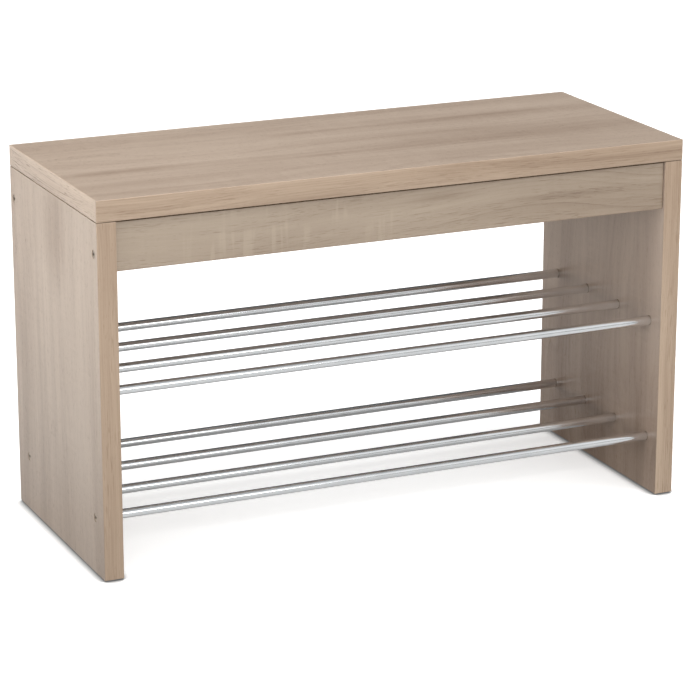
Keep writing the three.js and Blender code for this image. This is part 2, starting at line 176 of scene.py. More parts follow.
def floor_material():
    """White to the camera, greyer to the bench and the chrome, with a painted contact shadow where
    the bench stands.
    """
    material, nodes, shader = new_material("pale_floor")
    # Painted contact shadow: the floor's colour and glow darken where the bench is close above it.
    nearby = nodes.add("ShaderNodeAmbientOcclusion")
    nearby.inputs["Distance"].default_value = CONTACT_SHADOW_REACH
    contact_shadow = nodes.span(nearby.outputs["AO"], *CONTACT_SHADOW_OPEN, CONTACT_SHADOW_TONE, 1.0)
    path = nodes.add("ShaderNodeLightPath").outputs
    tone = nodes.blend(contact_shadow, (0.0, 0.0, 0.0), FLOOR_TONE)
    after_mirror = nodes.math("MINIMUM", path["Glossy Depth"], 1.0)
    bounce = nodes.blend(after_mirror, FLOOR_BOUNCE, FLOOR_UPLIGHT)
    tone = nodes.blend(path["Is Diffuse Ray"], tone, bounce)
    tone = nodes.blend(path["Is Glossy Ray"], tone, FLOOR_MIRRORED)
    nodes.link(tone, shader.inputs["Base Color"])
    glow = nodes.math("MULTIPLY", path["Is Camera Ray"], FLOOR_GLOW)
    nodes.link(nodes.math("MULTIPLY", glow, contact_shadow), shader.inputs["Emission Strength"])
    shader.inputs["Emission Color"].default_value = (*WHITE, 1.0)
    shader.inputs["Roughness"].default_value = FLOOR_ROUGHNESS
    shader.inputs["Specular IOR Level"].default_value = FLOOR_SPECULAR
    return material


def add_floor():
    """A plain pale floor, as a wide disc."""
    mesh = bpy.data.meshes.new("floor")
    shape = bmesh.new()
    bmesh.ops.create_circle(shape, cap_ends=True, radius=FLOOR_RADIUS, segments=FLOOR_SIDES)
    shape.to_mesh(mesh)
    shape.free()
    floor = bpy.data.objects.new("floor", mesh)
    bpy.context.scene.collection.objects.link(floor)
    mesh.materials.append(floor_material())


def studio_glow(nodes, mirrored):
    """How bright the world is in each direction: a dome above, less in front, little behind."""
    _, backward, upward = nodes.split(nodes.add("ShaderNodeTexCoord").outputs["Generated"])
    forward = nodes.span(backward, *FRONT_FADE)
    in_front = nodes.math("MULTIPLY", forward, nodes.span(upward, *HORIZON_FADE))
    glow = nodes.math("MULTIPLY_ADD", in_front, FRONT_LIGHT - REAR_LIGHT, REAR_LIGHT)
    behind = nodes.math("MAXIMUM", backward, 0.0)
    overhead = nodes.span(nodes.math("MULTIPLY_ADD", behind, -DOME_LEAN, upward), *DOME_FADE)
    dome = nodes.math("MULTIPLY_ADD", mirrored, DOME_MIRRORED - DOME_LIGHT, DOME_LIGHT)
    return nodes.math("MULTIPLY_ADD", overhead, nodes.math("SUBTRACT", dome, glow), glow)


def add_world():
    """The studio's soft light from all around, and plain white to the camera."""
    world = bpy.data.worlds.new("studio")
    world.use_nodes = True
    bpy.context.scene.world = world
    nodes = Nodes(world.node_tree)
    nodes.tree.nodes.clear()
    path = nodes.add("ShaderNodeLightPath").outputs
    light = nodes.add("ShaderNodeBackground")
    nodes.link(studio_glow(nodes, path["Is Glossy Ray"]), light.inputs["Strength"])
    light.inputs["Color"].default_value = (*WHITE, 1.0)
    seen = nodes.add("ShaderNodeBackground")
    seen.inputs["Color"].default_value = (*WHITE, 1.0)
    seen.inputs["Strength"].default_value = BACKDROP
    both = nodes.add("ShaderNodeMixShader")
    nodes.link(path["Is Camera Ray"], both.inputs[0])
    nodes.link(light.outputs[0], both.inputs[1])
    nodes.link(seen.outputs[0], both.inputs[2])
    output = nodes.add("ShaderNodeOutputWorld")
    nodes.link(both.outputs[0], output.inputs["Surface"])


# ---- Shader nodes --------------------------------------------------------------------------


class Nodes:
    """Adds and links nodes in one tree. Values may be numbers, tuples or sockets."""

    def __init__(self, tree):
        self.tree = tree

    def add(self, kind, **settings):
        node = self.tree.nodes.new(kind)
        for name, value in settings.items():
            setattr(node, name, value)
        return node

    def link(self, source, target):
        self.tree.links.new(source, target)

    def feed(self, value, target):
        """Links a socket, or sets a plain value."""
        if isinstance(value, bpy.types.NodeSocket):
            self.link(value, target)
        elif isinstance(value, (int, float)):
            target.default_value = value
        elif target.type == "RGBA":
            target.default_value = (*value[:3], 1.0)
        else:
            target.default_value = value

    def math(self, operation, *values):
        node = self.add("ShaderNodeMath", operation=operation)
        for value, target in zip(values, node.inputs):
            self.feed(value, target)
        return node.outputs[0]

    def vector(self, operation, *values):
        node = self.add("ShaderNodeVectorMath", operation=operation)
        for value, target in zip(values, node.inputs):
            self.feed(value, target)
        return node.outputs["Vector"]

    def split(self, vector):
        node = self.add("ShaderNodeSeparateXYZ")
        self.feed(vector, node.inputs[0])
        return node.outputs[0], node.outputs[1], node.outputs[2]

    def join(self, x, y, z):
        node = self.add("ShaderNodeCombineXYZ")
        for value, target in zip((x, y, z), node.inputs):
            self.feed(value, target)
        return node.outputs[0]

    def span(self, value, low, high, to_low=0.0, to_high=1.0):
        """Maps low..high smoothly onto to_low..to_high, and holds the ends."""
        node = self.add("ShaderNodeMapRange", interpolation_type="SMOOTHSTEP")
        for number, target in zip((value, low, high, to_low, to_high), node.inputs):
            self.feed(number, target)
        return node.outputs[0]

    def noise(self, vector, scale=1.0, detail=2.0, roughness=0.5, distortion=0.0):
        node = self.add("ShaderNodeTexNoise")
        self.feed(vector, node.inputs["Vector"])
        node.inputs["Scale"].default_value = scale
        node.inputs["Detail"].default_value = detail
        node.inputs["Roughness"].default_value = roughness
        node.inputs["Distortion"].default_value = distortion
        return node.outputs["Fac"]

    def ramp(self, value, stops):
        node = self.add("ShaderNodeValToRGB")
        self.feed(value, node.inputs[0])
        elements = node.color_ramp.elements
        while len(elements) < len(stops):
            elements.new(1.0)
        for element, (position, colour) in zip(elements, stops):
            element.position = position
            element.color = (*colour, 1.0)
        return node.outputs["Color"]

    def blend(self, share, first, second, mode="MIX"):
        node = self.add("ShaderNodeMix", data_type="RGBA", blend_type=mode)
        self.feed(share, node.inputs[0])
        self.feed(first, node.inputs[6])
        self.feed(second, node.inputs[7])
        return node.outputs[2]

    def bump(self, height, distance, strength=1.0):
        node = self.add("ShaderNodeBump")
        node.inputs["Strength"].default_value = strength
        node.inputs["Distance"].default_value = distance
        self.feed(height, node.inputs["Height"])
        return node.outputs["Normal"]


def new_material(name):
    """A material with only a Principled shader, and the helper for its nodes."""
    material = bpy.data.materials.new(name)
    material.use_nodes = True
    nodes = Nodes(material.node_tree)
    return material, nodes, material.node_tree.nodes["Principled BSDF"]


# ---- Oak decor -----------------------------------------------------------------------------

# Albedo of the printed oak, from the darkest growth lines to the palest streaks.
OAK_TONES = [
    (0.00, (0.215, 0.152, 0.112)),
    (0.30, (0.345, 0.262, 0.203)),
    (0.52, (0.440, 0.350, 0.280)),
    (0.75, (0.520, 0.425, 0.345)),
    (1.00, (0.600, 0.505, 0.420)),
]
# Sizes of the print's details in metres, along the grain and across it.
WANDER = (0.42, 0.20)
ARCHES = (0.60, 0.085)
BROAD_STREAK = (0.80, 0.060)
STREAK = (0.34, 0.011)
FINE_STREAK = (0.10, 0.0022)
HAIR_STREAK = (0.035, 0.0007)
DASH = (0.026, 0.0011)
DASH_PATCH = (0.12, 0.018)
PORE = (0.009, 0.00042)
SAW_BAR = (0.0075, 0.075)
SAW_PATCH = (0.07, 0.05)
RUBBED_PATCH = (0.02, 0.02)
WANDER_REACH = 0.030  # metres to both sides together
LINE_JITTER = 0.20  # how far the fine streaks push a growth line, in lines
LINE_SHARPNESS = 2.5
LINE_EDGE = 0.92  # where the sharp side of a line starts, in its width
FAINTEST_LINE = 0.35
PORE_OPENING = 0.74  # a higher one leaves fewer pores
PORES_IN_LINES = 0.12  # how much that drops in a growth line
PORE_EDGE = 0.08
WORN_EDGE = "worn_edge"  # a face attribute, 1 on the rounding of a band
DECOR_SHEET = 0.2 * MM  # the printed skin on both faces of a board


def stretched_noise(nodes, grain, size, **options):
    """Noise whose spots have about this (length, width) along and across the grain."""
    length, width = size
    scaled = nodes.vector("MULTIPLY", grain, (1 / length, 1 / width, 1 / width))
    return nodes.noise(scaled, **options)


def growth_lines(nodes, grain, density, arch, jitter):
    """Dark lines along the grain, soft on one side and sharp on the other.

    They are the contours of a slope across the board. density is how many there are in a metre,
    and arch how many lines the slope swings to each side, which bends them into arches.
    """
    _, wide, thick = nodes.split(grain)
    slope = nodes.math("MULTIPLY", nodes.math("ADD", wide, thick), density)
    swing = stretched_noise(nodes, grain, ARCHES, detail=1.0, distortion=0.15)
    slope = nodes.math("MULTIPLY_ADD", nodes.math("SUBTRACT", swing, 0.5), arch, slope)
    slope = nodes.math("MULTIPLY_ADD", jitter, LINE_JITTER, slope)
    phase = nodes.math("FRACT", slope)
    soft_side = nodes.math("POWER", phase, LINE_SHARPNESS)
    line = nodes.math("MULTIPLY", soft_side, nodes.span(phase, 1.0, LINE_EDGE))
    each = nodes.add("ShaderNodeTexWhiteNoise", noise_dimensions="1D")
    nodes.link(nodes.math("FLOOR", slope), each.inputs["W"])
    weight = nodes.span(each.outputs["Value"], 0.0, 1.0, FAINTEST_LINE, 1.0)
    return nodes.math("MULTIPLY", line, weight)


def saw_marks(nodes, grain):
    """Short pale bars across the grain, in patches."""
    bars = nodes.span(stretched_noise(nodes, grain, SAW_BAR, detail=1.0), 0.50, 0.66)
    patches = nodes.span(stretched_noise(nodes, grain, SAW_PATCH, detail=1.0), 0.36, 0.56)
    return nodes.math("MULTIPLY", bars, patches)


def dark_flecks(nodes, grain):
    """Short dark dashes, in patches."""
    dashes = stretched_noise(nodes, grain, DASH, detail=1.0)
    patches = nodes.span(stretched_noise(nodes, grain, DASH_PATCH, detail=1.0), 0.40, 0.60)
    return nodes.math("MULTIPLY", nodes.span(dashes, 0.56, 0.70), patches)


def open_pores(nodes, grain, lines):
    """Thin dark pores, most of them in the growth lines."""
    specks = stretched_noise(nodes, grain, PORE, detail=0.0)
    opening = nodes.math("MULTIPLY_ADD", lines, -PORES_IN_LINES, PORE_OPENING)
    return nodes.span(specks, opening, nodes.math("ADD", opening, PORE_EDGE))


def add_layers(nodes, total, *layers):
    """A value plus each (layer, weight) pair."""
    for layer, weight in layers:
        total = nodes.math("MULTIPLY_ADD", layer, weight, total)
    return total


def oak_group():
    """Printed sonoma oak as a node group.

    Vector is in metres with X along the grain. Lines and Arch shape the growth lines. Figure,
    Streaks, Flecks and Saw set how strong the lines, the fine streaks, the dark flecks and the
    saw marks are, and Shade moves the whole tone, for soft streaks in the print and for painted
    shade and painted light.
    """
    group = bpy.data.node_groups.new("sonoma_oak", "ShaderNodeTree")
    sides = group.interface
    sides.new_socket("Vector", in_out="INPUT", socket_type="NodeSocketVector")
    for name in ("Lines", "Arch", "Figure", "Streaks", "Flecks", "Saw", "Shade"):
        sides.new_socket(name, in_out="INPUT", socket_type="NodeSocketFloat")
    sides.new_socket("Color", in_out="OUTPUT", socket_type="NodeSocketColor")
    sides.new_socket("Height", in_out="OUTPUT", socket_type="NodeSocketFloat")
    nodes = Nodes(group)
    level = nodes.add("NodeGroupInput").outputs
    result = nodes.add("NodeGroupOutput").inputs

    # The grain wanders a little to each side along the board.
    wander = stretched_noise(nodes, level["Vector"], WANDER, detail=1.0)
    sideways = nodes.math("MULTIPLY", nodes.math("SUBTRACT", wander, 0.5), WANDER_REACH)
    grain = nodes.vector("ADD", level["Vector"], nodes.join(0.0, sideways, sideways))

    broad = stretched_noise(nodes, grain, BROAD_STREAK, detail=2.0)
    streak = stretched_noise(nodes, grain, STREAK, detail=3.0, roughness=0.6)
    fine = stretched_noise(nodes, grain, FINE_STREAK, detail=2.0, roughness=0.6)
    hair = stretched_noise(nodes, grain, HAIR_STREAK, detail=1.0)
    lines = growth_lines(nodes, grain, level["Lines"], level["Arch"], fine)
    lines = nodes.math("MULTIPLY", lines, level["Figure"])
    saw = nodes.math("MULTIPLY", saw_marks(nodes, level["Vector"]), level["Saw"])

    flecks = nodes.math("MULTIPLY", dark_flecks(nodes, grain), level["Flecks"])
    pores = open_pores(nodes, grain, lines)

    # The noises swing to both sides of the middle tone. The other layers only darken or lighten.
    tone = nodes.math("ADD", 0.5, level["Shade"])
    tone = add_layers(nodes, tone, (nodes.math("SUBTRACT", broad, 0.5), 0.62))
    for layer, weight in ((streak, 0.42), (fine, 0.26), (hair, 0.10)):
        swing = nodes.math("MULTIPLY", nodes.math("SUBTRACT", layer, 0.5), level["Streaks"])
        tone = add_layers(nodes, tone, (swing, weight))
    tone = add_layers(nodes, tone, (lines, -0.20), (flecks, -0.16), (pores, -0.05), (saw, 0.12))

    height = nodes.math("MULTIPLY", fine, 0.5)
    height = add_layers(nodes, height, (lines, -0.3), (flecks, -0.6), (pores, -1.0), (saw, 0.4))
    nodes.link(nodes.ramp(tone, OAK_TONES), result["Color"])
    nodes.link(height, result["Height"])
    return group


def along_grain(place, axis):
    """Coordinates swapped so that the first one runs along the grain."""
    x, y, z = place
    return {X: (x, y, z), Y: (y, x, z), Z: (z, y, x)}[axis]


def zone_level(nodes, along, zone):
    """A level that holds one value between two places along the grain and another outside."""
    start, end, fade, inside, outside = zone
    after_start = nodes.span(along, (start - fade) * MM, (start + fade) * MM)
    before_end = nodes.span(along, (end + fade) * MM, (end - fade) * MM)
    within = nodes.math("MULTIPLY", after_start, before_end)
    return nodes.math("MULTIPLY_ADD", within, inside - outside, outside)


def soft_streaks_and_shade(nodes, along, across, streaks):
    """Soft streaks in the print, painted shade and painted light at chosen places, to add to
    Shade.
    """
    shade = 0.0
    for middle, height, half_length, half_width, depth in streaks:
        far = nodes.math("DIVIDE", nodes.math("SUBTRACT", along, middle * MM), half_length * MM)
        wide = nodes.math("DIVIDE", nodes.math("SUBTRACT", across, height * MM), half_width * MM)
        reach = nodes.add("ShaderNodeVectorMath", operation="LENGTH")
        nodes.link(nodes.join(far, wide, 0.0), reach.inputs[0])
        shade = nodes.math("ADD", shade, nodes.span(reach.outputs["Value"], 0.0, 1.0, -depth, 0.0))
    return shade


CHIP_SCALE = (420.0, 420.0, 700.0)  # chips in a metre each way


def chipboard_colour(nodes):
    """Pressed wood chips, as on a cut edge of the board or in a drilled hole."""
    place = nodes.add("ShaderNodeTexCoord").outputs["Object"]
    chips = nodes.add("ShaderNodeTexVoronoi", feature="F1")
    nodes.link(nodes.vector("MULTIPLY", place, CHIP_SCALE), chips.inputs["Vector"])
    chips.inputs["Scale"].default_value = 1.0
    shade = nodes.split(chips.outputs["Color"])[0]
    return nodes.ramp(shade, [(0.0, (0.20, 0.12, 0.065)), (1.0, (0.47, 0.34, 0.21))])


# The print's usual levels. Bands get denser, straighter lines of their own.
OAK_LEVELS = {
    "Lines": 60.0, "Arch": 14.0, "Figure": 0.75, "Streaks": 0.8, "Flecks": 0.2, "Saw": 0.3
}
BAND_LEVELS = {
    "Lines": 330.0, "Arch": 6.0, "Figure": 0.8, "Streaks": 1.3, "Flecks": 0.7, "Saw": 0.0
}
# The upright bands are calmer, and carry painted shade that darkens them under the seat.
UPRIGHT_LEVELS_AND_SHADE = {"Figure": 0.6, "Streaks": 1.0, "Shade": (340, 500, 150, -0.10, -0.01)}
# How each print differs in tone from the oak tones above. Some tints also carry painted light.
SEAT_TINT = (1.03, 1.015, 0.995)
# Painted light: both side boards are one print, made brighter, paler on the lit left board and
# warmer on the shaded right one.
LEFT_TINT_AND_LIGHT = (1.10, 1.11, 1.11)
RIGHT_TINT_AND_LIGHT = (1.10, 1.06, 1.04)
APRON_TINT = (0.98, 0.985, 0.945)
BAND_TINT = (1.10, 1.03, 0.935)
# Painted light: the end bands are the band print made brighter and paler, as lit from the side.
END_TINT_AND_LIGHT = (1.20, 1.20, 1.18)
WORN_TONE = (0.46, 0.37, 0.30)
PRINT_ROUGHNESS = 0.27
CHIPBOARD_ROUGHER = 0.4  # than the print, and likewise for a worn edge
WORN_ROUGHER = 0.20
WEAR = (0.05, 0.3)  # how worn every edge is, and how much more where it is rubbed
PRINT_RELIEF = 0.12 * MM


def show_core(nodes, place, core, colour, gloss):
    """Chipboard instead of the print between a board's two skins."""
    axis, middle, half = core
    depth = nodes.math("SUBTRACT", nodes.math("ABSOLUTE", place[axis]), middle)
    inside = nodes.math("LESS_THAN", nodes.math("ABSOLUTE", depth), half)
    colour = nodes.blend(inside, colour, chipboard_colour(nodes))
    return colour, nodes.math("MULTIPLY_ADD", inside, CHIPBOARD_ROUGHER, gloss)


def wear_edges(nodes, place, colour, gloss):
    """Duller, rougher print where the edges of a band are rubbed."""
    edge = nodes.add("ShaderNodeAttribute", attribute_name=WORN_EDGE).outputs["Fac"]
    patches = stretched_noise(nodes, nodes.join(*place), RUBBED_PATCH)
    everywhere, rubbed = WEAR
    wear = nodes.math("MULTIPLY_ADD", nodes.span(patches, 0.35, 0.65), rubbed, everywhere)
    colour = nodes.blend(nodes.math("MULTIPLY", edge, wear), colour, WORN_TONE)
    return colour, nodes.math("MULTIPLY_ADD", edge, WORN_ROUGHER, gloss)


def decor_material(name, group, axis, offset, tint, core=None, streaks=(), **levels):
    """Oak print along an axis, on a board or a band. offset chooses the part of the print.

    core is (axis, middle, half) of the chipboard between a board's two skins, and streaks are
    soft darker or lighter places on it: streaks in the print, and painted shade and painted light.
    levels go to the group's inputs: a number, or a zone along the grain.
    """
    material, nodes, shader = new_material(name)
    place = nodes.split(nodes.add("ShaderNodeTexCoord").outputs["Object"])
    along, wide, thick = along_grain(place, axis)
    oak = nodes.add("ShaderNodeGroup", node_tree=group)
    nodes.link(nodes.vector("ADD", nodes.join(along, wide, thick), offset), oak.inputs["Vector"])
    for level, value in {**OAK_LEVELS, **levels}.items():
        if isinstance(value, tuple):
            value = zone_level(nodes, along, value)
        nodes.feed(value, oak.inputs[level])
    colour = nodes.blend(1.0, oak.outputs["Color"], tint, mode="MULTIPLY")
    height = oak.outputs["Height"]
    gloss = nodes.math("MULTIPLY_ADD", height, 0.10, PRINT_ROUGHNESS)
    if core:
        (across_axis,) = {X, Y, Z} - {axis, core[0]}
        shade = soft_streaks_and_shade(nodes, along, place[across_axis], streaks)
        nodes.feed(shade, oak.inputs["Shade"])
        colour, gloss = show_core(nodes, place, core, colour, gloss)
    else:
        colour, gloss = wear_edges(nodes, place, colour, gloss)
    nodes.link(colour, shader.inputs["Base Color"])
    nodes.link(gloss, shader.inputs["Roughness"])
    nodes.link(nodes.bump(height, PRINT_RELIEF, 0.5), shader.inputs["Normal"])
    return material


# ---- Metal and plastic ---------------------------------------------------------------------

# How fine each texture is, in repeats per metre.
WIPING_SCALE = (30.0, 900.0, 900.0)
HAZE_SCALE = 35.0
BLOTCH_SCALE = 700.0
BEECH_FLECK_SCALE = (900.0, 900.0, 160.0)
NYLON_GRAIN_SCALE = 1800.0
NYLON_CLOUD_SCALE = 120.0


def chrome_material():
    """Chrome plate, slightly satin, with faint wiping marks along the tube."""
    material, nodes, shader = new_material("chrome_plate")
    place = nodes.add("ShaderNodeTexCoord").outputs["Object"]
    wiping = nodes.noise(nodes.vector("MULTIPLY", place, WIPING_SCALE), detail=3.0)
    haze = nodes.noise(place, scale=HAZE_SCALE, detail=3.0)
    gloss = nodes.math("MULTIPLY_ADD", wiping, 0.04, nodes.span(haze, 0.35, 0.75, 0.14, 0.19))
    tint = nodes.ramp(haze, [(0.3, (0.69, 0.71, 0.725)), (0.7, (0.74, 0.757, 0.77))])
    nodes.link(tint, shader.inputs["Base Color"])
    shader.inputs["Metallic"].default_value = 1.0
    nodes.link(gloss, shader.inputs["Roughness"])
    nodes.link(nodes.bump(wiping, 0.004 * MM, 0.4), shader.inputs["Normal"])
    return material


def zinc_material():
    """Zinc-plated steel, slightly blotched."""
    material, nodes, shader = new_material("zinc_plate")
    place = nodes.add("ShaderNodeTexCoord").outputs["Object"]
    blotch = nodes.noise(place, scale=BLOTCH_SCALE, detail=4.0, roughness=0.6)
    tint = nodes.ramp(blotch, [(0.3, (0.40, 0.34, 0.28)), (0.7, (0.66, 0.57, 0.47))])
    nodes.link(tint, shader.inputs["Base Color"])
    shader.inputs["Metallic"].default_value = 1.0
    nodes.link(nodes.span(blotch, 0.3, 0.7, 0.28, 0.48), shader.inputs["Roughness"])
    nodes.link(nodes.bump(blotch, 0.03 * MM, 0.5), shader.inputs["Normal"])
    return material


def beech_material():
    """Raw beech with short flecks, for the dowels."""
    material, nodes, shader = new_material("beech")
    place = nodes.add("ShaderNodeTexCoord").outputs["Object"]
    flecks = nodes.noise(nodes.vector("MULTIPLY", place, BEECH_FLECK_SCALE), detail=3.0)
    tint = nodes.ramp(flecks, [(0.3, (0.47, 0.30, 0.16)), (0.7, (0.66, 0.47, 0.29))])
    nodes.link(tint, shader.inputs["Base Color"])
    nodes.link(nodes.span(flecks, 0.3, 0.7, 0.6, 0.8), shader.inputs["Roughness"])
    nodes.link(nodes.bump(flecks, 0.05 * MM, 0.6), shader.inputs["Normal"])
    return material


def nylon_material():
    """Moulded grey-brown nylon with a fine grain."""
    material, nodes, shader = new_material("nylon")
    place = nodes.add("ShaderNodeTexCoord").outputs["Object"]
    grain = nodes.noise(place, scale=NYLON_GRAIN_SCALE, detail=3.0)
    cloud = nodes.noise(place, scale=NYLON_CLOUD_SCALE, detail=2.0)
    tint = nodes.ramp(cloud, [(0.3, (0.085, 0.070, 0.058)), (0.7, (0.125, 0.105, 0.088))])
    nodes.link(tint, shader.inputs["Base Color"])
    nodes.link(nodes.span(cloud, 0.3, 0.7, 0.50, 0.65), shader.inputs["Roughness"])
    nodes.link(nodes.bump(grain, 0.04 * MM, 0.5), shader.inputs["Normal"])
    return material


# ---- Shapes --------------------------------------------------------------------------------

FIT = 0.3 * MM  # the play round a fitting in its hole
GLUE_LINE = 0.05 * MM  # between a board and its band
BOARD_EASE = 0.15 * MM  # on the edges of a board
BAND_ROUND = 0.7 * MM  # on the outer edges of a band
OVERCUT = 1 * MM  # how far a drill starts outside the face
SAME_PLACE = 0.002 * MM  # vertices closer than this are one
BAND_STEPS = 5  # in the rounding of a band
ROUND_SIDES = 64
SMOOTH_ANGLE = math.radians(35)


def finished(name, shape):
    """The mesh of a bmesh, with outward normals, smooth across shallow edges only."""
    bmesh.ops.recalc_face_normals(shape, faces=shape.faces)
    mesh = bpy.data.meshes.new(name)
    shape.to_mesh(mesh)
    shape.free()
    mesh.shade_smooth()
    mesh.set_sharp_from_angle(angle=SMOOTH_ANGLE)
    return mesh


def block(low, high):
    """A bmesh box between two corners."""
    shape = bmesh.new()
    bmesh.ops.create_cube(shape, size=1.0)
    size = Vector(high) - Vector(low)
    middle = (Vector(high) + Vector(low)) / 2
    bmesh.ops.scale(shape, vec=size, verts=shape.verts)
    bmesh.ops.translate(shape, vec=middle, verts=shape.verts)
    return shape


def ease(shape, edges, radius, segments):
    """Rounds some edges of a bmesh, and marks the rounding as worn."""
    worn = shape.faces.layers.float.new(WORN_EDGE)
    rounding = bmesh.ops.bevel(
        shape, geom=edges, offset=radius, segments=segments, profile=0.5, affect="EDGES"
    )
    for face in rounding["faces"]:
        face[worn] = 1.0


def turned(profile, sides=ROUND_SIDES, closed=False):
    """A bmesh turned round +Z from (radius, height) pairs. closed joins the last to the first."""
    shape = bmesh.new()
    rings = []
    for radius, height in profile:
        if radius == 0:
            rings.append([shape.verts.new((0, 0, height))] * sides)
            continue
        turns = [2 * math.pi * step / sides for step in range(sides)]
        rings.append(
            [
                shape.verts.new((radius * math.cos(turn), radius * math.sin(turn), height))
                for turn in turns
            ]
        )
    following = rings[1:] + rings[:1] if closed else rings[1:]
    for lower, upper in zip(rings, following):
        for step in range(sides):
            after = (step + 1) % sides
            corners = [lower[step], lower[after], upper[after], upper[step]]
            face = [v for place, v in enumerate(corners) if v not in corners[:place]]
            if len(face) > 2:
                shape.faces.new(face)
    return shape


def laid(shape, origin, direction):
    """Moves a bmesh made round +Z so that it starts at a place and points along a direction."""
    turn = Vector((0, 0, 1)).rotation_difference(Vector(direction)).to_matrix().to_4x4()
    shape.transform(Matrix.Translation(origin) @ turn)
    return shape


def drill(start, end, radius, sides=ROUND_SIDES):
    """A round cutter from one place to another."""
    way = Vector(end) - Vector(start)
    length = way.length
    profile = [(0, 0), (radius, 0), (radius, length), (0, length)]
    return laid(turned(profile, sides), Vector(start), way.normalized())


def merge_doubles(mesh):
    """Merges the vertices that a boolean leaves on top of each other."""
    shape = bmesh.new()
    shape.from_mesh(mesh)
    bmesh.ops.remove_doubles(shape, verts=shape.verts, dist=SAME_PLACE)
    bmesh.ops.dissolve_degenerate(shape, edges=shape.edges, dist=SAME_PLACE)
    shape.to_mesh(mesh)
    shape.free()


def carved(name, shape, cutters):
    """The mesh that is left of a bmesh when other bmeshes are cut out of it."""
    holder = bpy.data.collections.new("cutters")
    body = bpy.data.objects.new("body", finished("body", shape))
    bpy.context.scene.collection.objects.link(body)
    for cutter in cutters:
        tool = bpy.data.objects.new("cutter", finished("cutter", cutter))
        holder.objects.link(tool)
    cut = body.modifiers.new("cut", "BOOLEAN")
    cut.operation = "DIFFERENCE"
    cut.solver = "EXACT"
    cut.operand_type = "COLLECTION"
    cut.collection = holder
    graph = bpy.context.evaluated_depsgraph_get()
    mesh = bpy.data.meshes.new_from_object(body.evaluated_get(graph))
    mesh.name = name
    merge_doubles(mesh)
    for tool in list(holder.objects):
        bpy.data.objects.remove(tool)
    bpy.data.collections.remove(holder)
    bpy.data.objects.remove(body)
    mesh.shade_smooth()
    mesh.set_sharp_from_angle(angle=SMOOTH_ANGLE)
    return mesh


def stand_in(node_name, mesh, material):
    """Shows a mesh of this script in place of one CAD node."""
    piece = bpy.data.objects.new(f"{node_name}_piece", mesh)
    bpy.context.scene.collection.objects.link(piece)
    mesh.materials.clear()
    mesh.materials.append(material)
    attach(piece, "root")
    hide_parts(node_name)
    return piece


def round_node(node_name, axis):
    """Middle, radius and both ends of a round CAD node that lies along an axis."""
    low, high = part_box(node_name)
    across = [high[other] - low[other] for other in (X, Y, Z) if other != axis]
    return (low + high) / 2, max(across) / 2, low[axis], high[axis]


def at(place, axis, value):
    """A copy of a place with one coordinate replaced."""
    moved = Vector(place)
    moved[axis] = value
    return moved


# ---- Boards and bands ----------------------------------------------------------------------

SIDES = {"left": -1, "right": 1}
ENDS = {"front": -1, "back": 1}
CORNERS = [f"{side}_{end}" for side in SIDES for end in ENDS]
BOARD_BANDS = {
    "top_panel": ["top_front_band", "top_back_band", "top_left_band", "top_right_band"],
    "left_side_panel": ["left_front_band", "left_back_band"],
    "right_side_panel": ["right_front_band", "right_back_band"],
    "front_apron": ["front_apron_band"],
    "rear_apron": ["rear_apron_band"],
}
SHAFT_RADIUS = {"apron_screw": 3.5 * MM, "tie_screw": 3.0 * MM}
HEAD_DEPTH = 5.1 * MM  # of the round pocket for a screw head, under the board's face
BOLT_RADIUS = 3.3 * MM
GLIDE_PIN_RADIUS = 1.25 * MM
JOINT_CUT = 0.4 * MM  # how far a board stops short of the next one
JOINT_DEPTH = 3 * MM  # how deep that joint is open
UNDER_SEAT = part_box("top_panel")[0][Z] - GLUE_LINE
GROOVE_HEIGHT = 2.2 * MM  # the shadow line under the seat, on both faces of a rail
GROOVE_DEPTH = 5 * MM
ROD_NAMES = [name for name in frame["nodes"] if "_rod_" in name and name[-1].isdigit()]


def band_axis(board_name, band_name):
    """Which way a band faces, as (axis, sign), from where it lies beside its board."""
    board_low, board_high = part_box(board_name)
    band_low, band_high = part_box(band_name)
    for axis in (X, Y, Z):
        if band_low[axis] >= board_high[axis]:
            return axis, 1
        if band_high[axis] <= board_low[axis]:
            return axis, -1
    raise ValueError(f"{band_name} is not beside {board_name}")


def trimmed_box(node_name):
    """A node's box, cut back a little where it meets the next board, so that the joint shows."""
    low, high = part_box(node_name)
    if "apron" in node_name:
        low[X] += JOINT_CUT
        high[X] -= JOINT_CUT
    elif not node_name.startswith("top"):
        high[Z] -= JOINT_CUT
    return low, high


def raise_middle(shape, height):
    """Lifts all but the rim of the top face, so that the joint above is open only at its edge."""
    top = max(shape.faces, key=lambda face: face.calc_center_median().z)
    for inset in (JOINT_DEPTH, 0.0):
        bmesh.ops.inset_individual(shape, faces=[top], thickness=inset)
    for vertex in top.verts:
        vertex.co.z = height


def board_block(board_name):
    """The board's box, grown up to its bands and the seat so that only a glue line is left."""
    low, high = trimmed_box(board_name)
    for band_name in BOARD_BANDS[board_name]:
        axis, sign = band_axis(board_name, band_name)
        band_low, band_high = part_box(band_name)
        if sign > 0:
            high[axis] = band_low[axis] - GLUE_LINE
        else:
            low[axis] = band_high[axis] + GLUE_LINE
    if board_name.endswith("apron"):
        high[Z] = UNDER_SEAT
    shape = block(low, high)
    ease(shape, list(shape.edges), BOARD_EASE, 1)
    if board_name.endswith("side_panel"):
        raise_middle(shape, UNDER_SEAT)
    return shape


def seat_holes():
    """Blind holes in the seat's underside for the cam bolts and the dowels."""
    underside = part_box("top_panel")[0][Z]
    holes = []
    for corner in CORNERS:
        for kind in ("cam_bolt", "seat_dowel"):
            middle, radius, _, top = round_node(f"{corner}_{kind}", Z)
            start = at(middle, Z, underside - OVERCUT)
            holes.append(drill(start, at(middle, Z, top + FIT), radius + FIT))
    return holes


